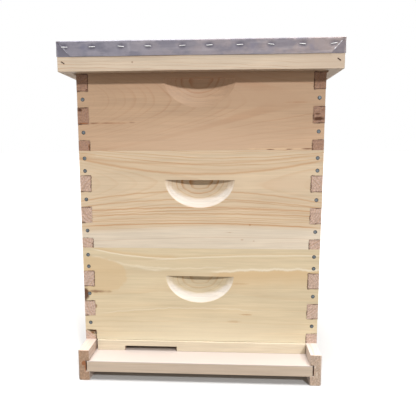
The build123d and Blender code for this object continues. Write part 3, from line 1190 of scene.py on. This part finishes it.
for box_name in ("lower", "middle", "top"):
    body = f"{box_name}_frames"
    nodes = sorted(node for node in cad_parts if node.startswith(f"{box_name}_frame_"))
    bars = shape_of(*nodes)
    wax = bars.copy()
    for shape, is_wax in ((bars, False), (wax, True)):
        kept = set()
        for part in loose_parts(shape):
            if (span(part, 0) <= wax_thickness_most) == is_wax:
                kept |= part
            if span(part, 1) < end_bar_extent:
                for face in part:
                    face.material_index = 1
        unwanted = [face for face in shape.faces if face not in kept]
        bmesh.ops.delete(shape, geom=unwanted, context="FACES")
    ease_edges(bars, edge_ease)
    make_piece(f"{body}_wood", bars, [bar_wood, end_bar_wood], body, nodes)
    make_piece(f"{body}_wax", wax, [wax_sheet], body, nodes)


# ---- Inner cover ----
# A thin hardboard panel over the top box, with a rounded slot for the bees to escape by.

board_ease = 0.3 * mm


def hardboard(name, dark, light):
    material, tree, shader = new_material(name)
    place = placed(tree, "front", (0, 0, 0))
    pulp = speckle(place, 0.5, 5.0, 0.7)
    worn = rise(speckle(place, 0.02), 0.3, 0.7, 0.0, 0.25)
    board = tinted(rise(pulp, 0.3, 0.7), dark, light)
    finish = {
        "Base Color": tinted(worn, board, srgb(190, 152, 112)),
        "Roughness": rise(pulp, 0.3, 0.7, 0.45, 0.65),
        "Normal": relief(pulp, 0.3, 0.15 * mm),
    }
    connect(shader, finish)
    return material


inner_board = hardboard("inner cover hardboard", srgb(122, 84, 54), srgb(156, 114, 78))
board_piece("inner_cover_board", "inner_cover", inner_board, "inner_cover", board_ease)


# ---- Outer cover: rims and deck ----
# Four pine rims nailed round the edge hang down over the top box, under a thin deck.

rim_colours = {
    "Early": srgb(203, 186, 165),
    "Late": srgb(174, 132, 94),
    "Sap": srgb(210, 196, 178),
    "End": srgb(184, 160, 140),
}
rim_patches = {
    "front": [
        ((-107, 0, 14), (2.4, 25, 2.2), knot_brown, 0.6, 0.8),
        ((-60, 0, 23), (120, 25, 1.2), orange_brown, 0.35, 0.9),
        # dark line along the lower edge: painted shade under the rim
        ((0, 0, 0), (240, 25, 1.6), knot_brown, 0.45, 0.9),
        ((220, 0, 22), (130, 25, 60), srgb(186, 166, 146), 0.7, 1.0),
    ],
}
rim_dice = random.Random(11)
for facing in ("front", "rear", "left", "right"):
    node = f"cover_rim_{facing}"
    look = {
        **rim_colours,
        "Pith Depth": rim_dice.uniform(60, 90),
        "Pith Height": rim_dice.uniform(-70, -40),
        "Slope": rim_dice.uniform(-0.03, 0.03),
        "Ring Width": 2.6,
        "Line Strength": 0.7,
        "Sap Radius": 200.0,
    }
    origin = face_origin(node, facing)
    rim_wood = pine(f"{node} pine", facing, origin, look, rim_patches.get(facing, []))
    board_piece(f"{node}_wood", node, rim_wood, "outer_cover")

deck_board = hardboard("deck hardboard", srgb(132, 94, 62), srgb(164, 122, 86))
board_piece("cover_deck_board", "cover_deck", deck_board, "outer_cover", board_ease)


# ---- Outer cover: galvanised sheet ----
# One thin zinc-coated sheet, its edges turned down over the rims and stapled. The side edges
# fold round the corners as short tabs, under the front and rear edges, whose own corners are
# snipped off at a slant. Staples pull dents into it.

low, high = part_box("cover_sheet")
sheet_thickness = 0.5 * mm
sheet_gap = 0.6 * mm
half_size = ((high.x - low.x - sheet_thickness) / 2, (high.y - low.y - sheet_thickness) / 2)
sheet_middle = (low + high) / 2
sheet_top = high.z - sheet_thickness / 2
flange_depth = sheet_top - low.z
flange_sides = {"front": (1, -1), "rear": (1, 1), "left": (0, -1), "right": (0, 1)}
bend_radius = 1.6 * mm
bend_steps = 3
flat_half = [half - bend_radius for half in half_size]
sheet_columns = 104
sheet_rows = 7
hair = 0.01 * mm
dent_reach = 25 * mm
dent_length = 8 * mm
dent_height = 6 * mm
dent_depth = 0.75
dent_full_row = 2
slack_range = (0.1125, 0.225)
slack_beat = (22, 40)
slack_seed = 3.1
slack_growth = 1.4
flange_play = (-0.55, 0.3)
waver_range = (0.3 * mm, 0.54 * mm)
waver_beat = 18
waver_seed = 7.7
tab_length = 25 * mm
tab_bend = 4 * mm
tab_painted_shade = 0.7
snip_inset = 2.5 * mm
snip_drop = 2 * mm
snip_slant = (0.74, -0.67)
snip_highlight_drops = (5, 19)
snip_painted_highlight = -1.0
snip_painted_shade = 0.5
staples = solids_of("cover_staples")


def of_kind(items, kind):
    return [item for item in items if isinstance(item, kind)]


def staple_pull(point, along):
    """How strongly the nearest staple pulls the sheet in at a point, from 0 to 1."""
    pull = 0.0
    for corner, other in staples:
        middle = (corner + other) / 2
        if abs(middle[1 - along] - point[1 - along]) < dent_reach:
            sideways = (point[along] - middle[along]) / dent_length
            height = (point.z - middle.z) / dent_height
            pull = max(pull, math.exp(-sideways * sideways - height * height))
    return pull


sheet = bmesh.new()
painted_light_layer = sheet.verts.layers.float.new("painted_light")
bmesh.ops.create_grid(sheet, x_segments=sheet_columns, y_segments=sheet_columns, size=1)
for vert in sheet.verts:
    vert.co.x = sheet_middle.x + vert.co.x * flat_half[0]
    vert.co.y = sheet_middle.y + vert.co.y * flat_half[1]
    vert.co.z = sheet_top
top_faces = list(sheet.faces)


def edge_of_sheet(axis, sign):
    limit = sheet_middle[axis] + sign * flat_half[axis]

    def at_limit(vert):
        return abs(vert.co[axis] - limit) < hair and abs(vert.co.z - sheet_top) < hair

    return [edge for edge in sheet.edges if edge.is_boundary and all(map(at_limit, edge.verts))]


def grow_strip(edges, step):
    """Grow a strip from a row of edges and carry it a step; gives its far edges and corners."""
    made = bmesh.ops.extrude_edge_only(sheet, edges=edges)["geom"]
    corners = of_kind(made, bmesh.types.BMVert)
    far = [edge for edge in of_kind(made, bmesh.types.BMEdge) if set(corners).issuperset(edge.verts)]
    bmesh.ops.translate(sheet, verts=corners, vec=step)
    return far, corners


def turn_down(axis, sign):
    """Bend one edge of the sheet over and carry it down in rows."""
    outward = Vector((0, 0, 0))
    outward[axis] = sign
    places = []
    for step in range(1, bend_steps + 1):
        angle = step / bend_steps * math.pi / 2
        places.append((bend_radius * math.sin(angle), bend_radius * (1 - math.cos(angle))))
    for row in range(1, sheet_rows + 1):
        places.append((bend_radius, bend_radius + row / sheet_rows * (flange_depth - bend_radius)))
    edges = edge_of_sheet(axis, sign)
    rows = []
    before = (0.0, 0.0)
    for out, down in places:
        step = outward * (out - before[0]) + Vector((0, 0, before[1] - down))
        edges, corners = grow_strip(edges, step)
        rows.append(corners)
        before = (out, down)
    return rows


flange_rows = {name: turn_down(*flange_sides[name]) for name in flange_sides}

# Front and rear edges reach the corners; the side edges stop short, to leave room for tabs
for name, rows in flange_rows.items():
    along = 1 - flange_sides[name][0]
    reach = half_size[0] if along == 0 else half_size[1] - sheet_gap
    for row in rows[1:]:
        for vert in row:
            from_middle = vert.co[along] - sheet_middle[along]
            if abs(from_middle) > flat_half[along] - hair:
                vert.co[along] = sheet_middle[along] + math.copysign(reach, from_middle)


def fold_tab(rows, inward, end):
    """Carry a side edge's end round the corner as a short tab."""
    column = {max(row, key=lambda vert: end * vert.co.y) for row in rows[2:]}
    edges = [edge for edge in sheet.edges if edge.is_boundary and column.issuperset(edge.verts)]
    for length in (tab_bend, tab_length - tab_bend):
        edges, corners = grow_strip(edges, Vector((inward * length, 0, 0)))
        for vert in corners:
            # painted shade on the tab, which lies behind the flange
            vert[painted_light_layer] = tab_painted_shade


for side, inward in (("left", 1), ("right", -1)):
    for end in (-1, 1):
        fold_tab(flange_rows[side], inward, end)

# Dents at the staples, with painted shade in them, slack between them and a lower edge that isn't quite
# straight
for name, rows in flange_rows.items():
    axis, sign = flange_sides[name]
    along = 1 - axis
    for number, row in enumerate(rows):
        looseness = min(1.0, number / len(rows) * slack_growth)
        for vert in row:
            spot = (vert.co[along] * slack_beat[0], slack_seed * sign + along, vert.co.z * slack_beat[1])
            slack = looseness * (slack_range[0] + slack_range[1] * noise.noise(spot))
            pull = staple_pull(vert.co, along)
            vert[painted_light_layer] = pull
            push = slack - dent_depth * pull * min(1.0, number / dent_full_row)
            vert.co[axis] += sign * max(flange_play[0], min(flange_play[1], push)) * mm
            if row is rows[-1]:
                spot = (vert.co[along] * waver_beat, waver_seed * sign, along)
                vert.co.z += waver_range[0] + waver_range[1] * noise.noise(spot)

# The snipped corners; their cut edge gets a painted highlight where it lies over the tab and painted
# shade elsewhere
for name in ("front", "rear"):
    flange_verts = {vert for row in flange_rows[name][2:] for vert in row}
    for side in (-1, 1):
        faces = [face for face in sheet.faces if flange_verts.issuperset(face.verts)]
        parts = dict.fromkeys(part for face in faces for part in (*face.verts, *face.edges))
        snip_x = sheet_middle.x + side * (half_size[0] - snip_inset)
        snipped = bmesh.ops.bisect_plane(
            sheet,
            geom=[*parts, *faces],
            plane_co=(snip_x, 0, sheet_top - snip_drop),
            plane_no=(side * snip_slant[0], 0, snip_slant[1]),
            clear_outer=True,
        )
        lip = set(of_kind(snipped["geom_cut"], bmesh.types.BMVert))
        for vert in lip:
            drop = (sheet_top - vert.co.z) / mm
            vert[painted_light_layer] = snip_painted_highlight if snip_highlight_drops[0] < drop < snip_highlight_drops[1] else snip_painted_shade
        flange_verts = {vert for vert in flange_verts | lip if vert.is_valid}

bmesh.ops.recalc_face_normals(sheet, faces=sheet.faces)
if sum(face.normal.z for face in top_faces) < 0:
    bmesh.ops.reverse_faces(sheet, faces=sheet.faces)
bmesh.ops.solidify(sheet, geom=sheet.faces[:], thickness=sheet_thickness / 2)

zinc_stains = [
    ((-186, -250, -12), (9, 60, 14), srgb(104, 106, 128), 0.5, 0.8),
    ((86, -250, -12), (11, 60, 14), srgb(108, 108, 128), 0.45, 0.8),
    ((178, -250, -14), (8, 60, 14), srgb(110, 106, 124), 0.4, 0.8),
    ((-112, -250, -10), (5, 60, 14), srgb(196, 194, 200), 0.4, 0.9),
]


def galvanised():
    """Zinc coat: grey crystals, cooler at one end, with worn and stained places, painted shade in the
    staple dents and on the tabs, and a painted highlight on the snipped edges.
    """
    material, tree, shader = new_material("galvanised sheet")
    place = placed(tree, "front", (0, hive_middle.y, sheet_top))
    crystals = join_node("TexVoronoi", {"Vector": place, "Scale": 0.13})["Color"]
    crystal = join_node("SeparateColor", {0: crystals})
    cloud = speckle(place, 0.012, 3.0)
    painted_light = add_node(tree, "Attribute", {}, attribute_name="painted_light")["Fac"]
    towards_right = grown(parts_of(place)[0], cloud, 160.0)
    warmer = rise(towards_right, -120.0, 330.0)
    zinc = tinted(warmer, srgb(134, 131, 141), srgb(138, 126, 124))
    smudge = speckle(place, (0.03, 0.03, 0.05), 3.0, 0.6)
    scuff = speckle(place, (0.02, 0.02, 0.2), 3.0)
    for share, colour in (
        (rise(smudge, 0.46, 0.66, 0.0, 0.55), srgb(98, 98, 112)),
        (rise(crystal[0], 0.0, 1.0, 0.0, 0.12), srgb(110, 112, 126)),
        (rise(scuff, 0.45, 0.75, 0.0, 0.16), srgb(190, 184, 186)),
        # painted shade in the staple dents and on the tabs, then a painted highlight along the snipped
        # edges
        (rise(painted_light, 0.2, 0.9, 0.0, 0.6), srgb(76, 74, 88)),
        (rise(painted_light, -0.9, -0.3, 0.8, 0.0), srgb(214, 216, 224)),
    ):
        zinc = tinted(share, zinc, colour)
    finish = {
        "Base Color": add_patches(place, zinc, zinc_stains),
        "Roughness": rise(crystal[1], 0.0, 1.0, 0.5, 0.62),
        "Metallic": 0.6,
        "Normal": relief(cloud, 0.15, 0.3 * mm),
    }
    connect(shader, finish)
    return material


zinc_coat = galvanised()
make_piece("cover_sheet_metal", sheet, [zinc_coat], "outer_cover", ["cover_sheet"])


# ---- Staples ----
# Bent steel wire: ones with a painted glint, near-white, hold each turned-down edge of the sheet, and
# sunk ones painted dark brown for the shade of their slots stand slantwise at the ends of the rims.

wire_radius = 0.65 * mm
wire_sides = 6
crown_length = 11.0 * mm
leg_length = 12.0 * mm
wire_bend = 1.0 * mm
# near-white crowns: painted glint of the shiny staples
staple_painted_glint = steel("staple steel", srgb(236, 236, 240), srgb(255, 255, 255), 0.25, 0.6, 0.3)
# dark brown, not metal: painted shade of the slots the sunk staples sit in
sunk_slot_painted_shade = steel("sunk staple slot painted shade", srgb(60, 40, 30), srgb(84, 58, 44), 0.8, 0.6, 0.0)
sunk_size = (0.72, 2.0, 1, 1)
sunk_show = 0.35 * mm
sunk_tilt = math.radians(-35)
crown_tilt = 0.12
upright_least = 3 * mm


def staple_mesh():
    """One staple: its crown along X with its outer side at z = 0, and its legs down."""
    shape = bmesh.new()
    ring = bmesh.ops.create_circle(shape, cap_ends=True, radius=wire_radius, segments=wire_sides)
    leg_x = crown_length / 2 - wire_radius
    bend_x = leg_x - wire_bend
    bend_z = -wire_radius - wire_bend
    bmesh.ops.translate(shape, verts=ring["verts"], vec=(-leg_x, 0, -leg_length))

    def carry(faces, vector):
        made = bmesh.ops.extrude_face_region(shape, geom=faces)["geom"]
        bmesh.ops.translate(shape, verts=of_kind(made, bmesh.types.BMVert), vec=vector)
        bmesh.ops.delete(shape, geom=faces, context="FACES_ONLY")
        return of_kind(made, bmesh.types.BMFace)

    end = carry(list(shape.faces), (0, 0, leg_length + bend_z))
    for centre_x in (-bend_x, bend_x):
        spun = bmesh.ops.spin(
            shape,
            geom=end,
            cent=(centre_x, 0, bend_z),
            axis=(0, 1, 0),
            angle=math.pi / 2,
            steps=3,
        )
        bmesh.ops.delete(shape, geom=end, context="FACES_ONLY")
        end = of_kind(spun["geom_last"], bmesh.types.BMFace)
        if centre_x < 0:
            end = carry(end, (2 * bend_x, 0, 0))
    carry(end, (0, 0, -leg_length - bend_z))
    return finished_mesh("one staple", shape)


one_staple = staple_mesh()
staple_dice = random.Random(5)
staple_shape = bmesh.new()
for low, high in staples:
    centre, size = (low + high) / 2, high - low
    offset = centre - sheet_middle
    on_side = abs(offset.x) / half_size[0] > abs(offset.y) / half_size[1]
    outward = outward_of(offset, on_side)
    crown = centre + outward * abs(size.dot(outward)) / 2
    turn = Matrix.Rotation(staple_dice.uniform(-crown_tilt, crown_tilt), 4, "Z")
    sunk = size.z > upright_least
    if sunk:
        crown += outward * sunk_show
        turn = Matrix.Rotation(sunk_tilt, 4, "Z") @ Matrix.Diagonal(sunk_size)
    before = len(staple_shape.faces)
    add_copy(staple_shape, one_staple, Matrix.Translation(crown) @ turn_to(outward) @ turn)
    staple_shape.faces.ensure_lookup_table()
    for face in staple_shape.faces[before:]:
        face.material_index = int(sunk)
make_piece(
    "cover_staples_wire",
    staple_shape,
    [staple_painted_glint, sunk_slot_painted_shade],
    "outer_cover",
    ["cover_staples"],
)
